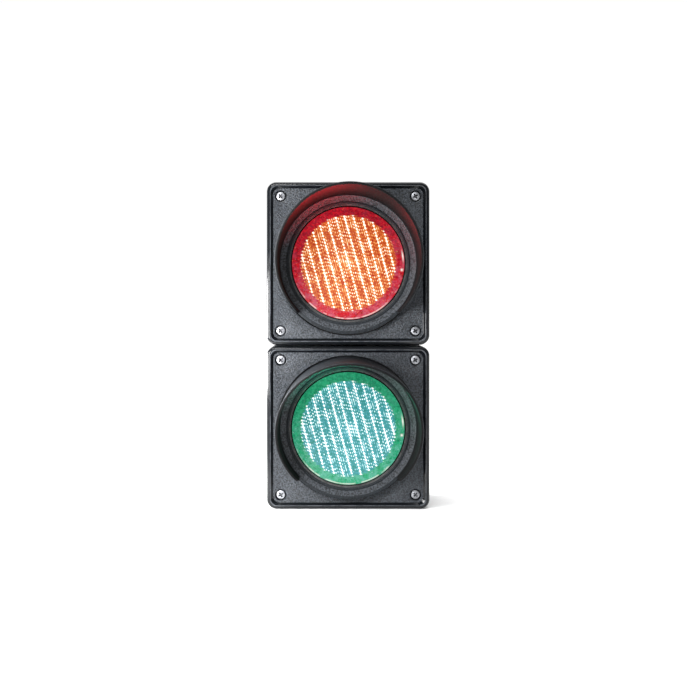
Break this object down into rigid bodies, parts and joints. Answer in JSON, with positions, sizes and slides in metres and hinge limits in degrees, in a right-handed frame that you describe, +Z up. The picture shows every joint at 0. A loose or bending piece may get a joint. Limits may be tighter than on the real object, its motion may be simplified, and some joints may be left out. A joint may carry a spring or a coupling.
{
  "type": "two-aspect signal light",
  "caption": "Square black LED signal head with a red unit stacked on a green one, each with a round hooded sun visor cut on a slope, domed lens and screwed front cover.",
  "frame": {"origin": "on the base face that the signal stands on, under the axis on which the upper unit swivels", "axes": "+Z up along the swivel axis, -Y out of the lenses towards the viewer, +X to the viewer's right"},
  "size_m": [0.17, 0.169, 0.3415],
  "materials": {
    "housing_plastic": "fine matt grain",
    "cover_plastic": "spark-eroded grain on the field, glossy rim",
    "visor_plastic": "fine grain",
    "clamp_plastic": "satin",
    "black_rubber": "matt",
    "seal_rubber": "satin",
    "brass": "turned",
    "plated_steel": "bright plating",
    "zinc_steel": "zinc plating",
    "spring_steel": "satin",
    "green_lens_plastic": "clear, gloss",
    "red_lens_plastic": "clear, gloss",
    "green_led": "clear epoxy, lit",
    "red_led": "clear epoxy, lit",
    "board_laminate": "white solder mask",
    "driver_case": "potting compound",
    "terminal_plastic": "satin",
    "wire_sleeve": "satin sleeve",
    "cable_jacket": "satin jacket"
  },
  "bodies": {
    "lower_unit": {"green_housing": "housing_plastic", "green_cover_gasket": "black_rubber", "green_threaded_inserts": "brass", "green_led_board": "board_laminate", "green_leds": "green_led", "green_led_driver": "driver_case", "green_board_screws": "zinc_steel", "green_terminal_block": "terminal_plastic", "green_terminal_screws": "zinc_steel", "green_block_screws": "zinc_steel", "green_led_leads": "wire_sleeve", "coupling_nipple": "zinc_steel", "coupling_seal": "black_rubber", "lower_locknut": "zinc_steel", "upper_locknut": "zinc_steel", "bottom_plug": "housing_plastic", "bottom_plug_nut": "zinc_steel", "cable_grommet": "black_rubber", "feed_socket": "terminal_plastic", "feed_tail": "cable_jacket"},
    "green_cover": {"green_front_cover": "cover_plastic", "green_cover_screws": "plated_steel", "green_screw_seals": "black_rubber"},
    "green_visor_unit": {"green_visor": "visor_plastic", "green_visor_seal": "black_rubber", "green_visor_ring": "spring_steel", "green_lens": "green_lens_plastic", "green_lens_seal": "seal_rubber", "green_lens_clamp": "clamp_plastic"},
    "upper_unit": {"red_housing": "housing_plastic", "red_cover_gasket": "black_rubber", "red_threaded_inserts": "brass", "red_led_board": "board_laminate", "red_leds": "red_led", "red_led_driver": "driver_case", "red_board_screws": "zinc_steel", "red_terminal_block": "terminal_plastic", "red_terminal_screws": "zinc_steel", "red_block_screws": "zinc_steel", "red_led_leads": "wire_sleeve", "top_plug": "housing_plastic", "top_plug_nut": "zinc_steel", "feed_plug": "terminal_plastic", "feed_cable": "cable_jacket"},
    "red_cover": {"red_front_cover": "cover_plastic", "red_cover_screws": "plated_steel", "red_screw_seals": "black_rubber"},
    "red_visor_unit": {"red_visor": "visor_plastic", "red_visor_seal": "black_rubber", "red_visor_ring": "spring_steel", "red_lens": "red_lens_plastic", "red_lens_seal": "seal_rubber", "red_lens_clamp": "clamp_plastic"}
  },
  "joints": [
    {"name": "upper_unit_swivel", "type": "hinge", "parent": "lower_unit", "child": "upper_unit", "pos_m": [0, 0, 0.1715], "axis": [0, 0, 1], "range_deg": [-90, 90]},
    {"name": "green_cover_lift_off", "type": "slide", "parent": "lower_unit", "child": "green_cover", "axis": [0, -1, 0], "range_m": [0, 0.12]},
    {"name": "green_visor_turn", "type": "hinge", "parent": "green_cover", "child": "green_visor_unit", "pos_m": [0, -0.04225, 0.085], "axis": [0, 1, 0], "range_deg": [-90, 90]},
    {"name": "red_cover_lift_off", "type": "slide", "parent": "upper_unit", "child": "red_cover", "axis": [0, -1, 0], "range_m": [0, 0.12]},
    {"name": "red_visor_turn", "type": "hinge", "parent": "red_cover", "child": "red_visor_unit", "pos_m": [0, -0.04225, 0.2565], "axis": [0, 1, 0], "range_deg": [-90, 90]}
  ]
}
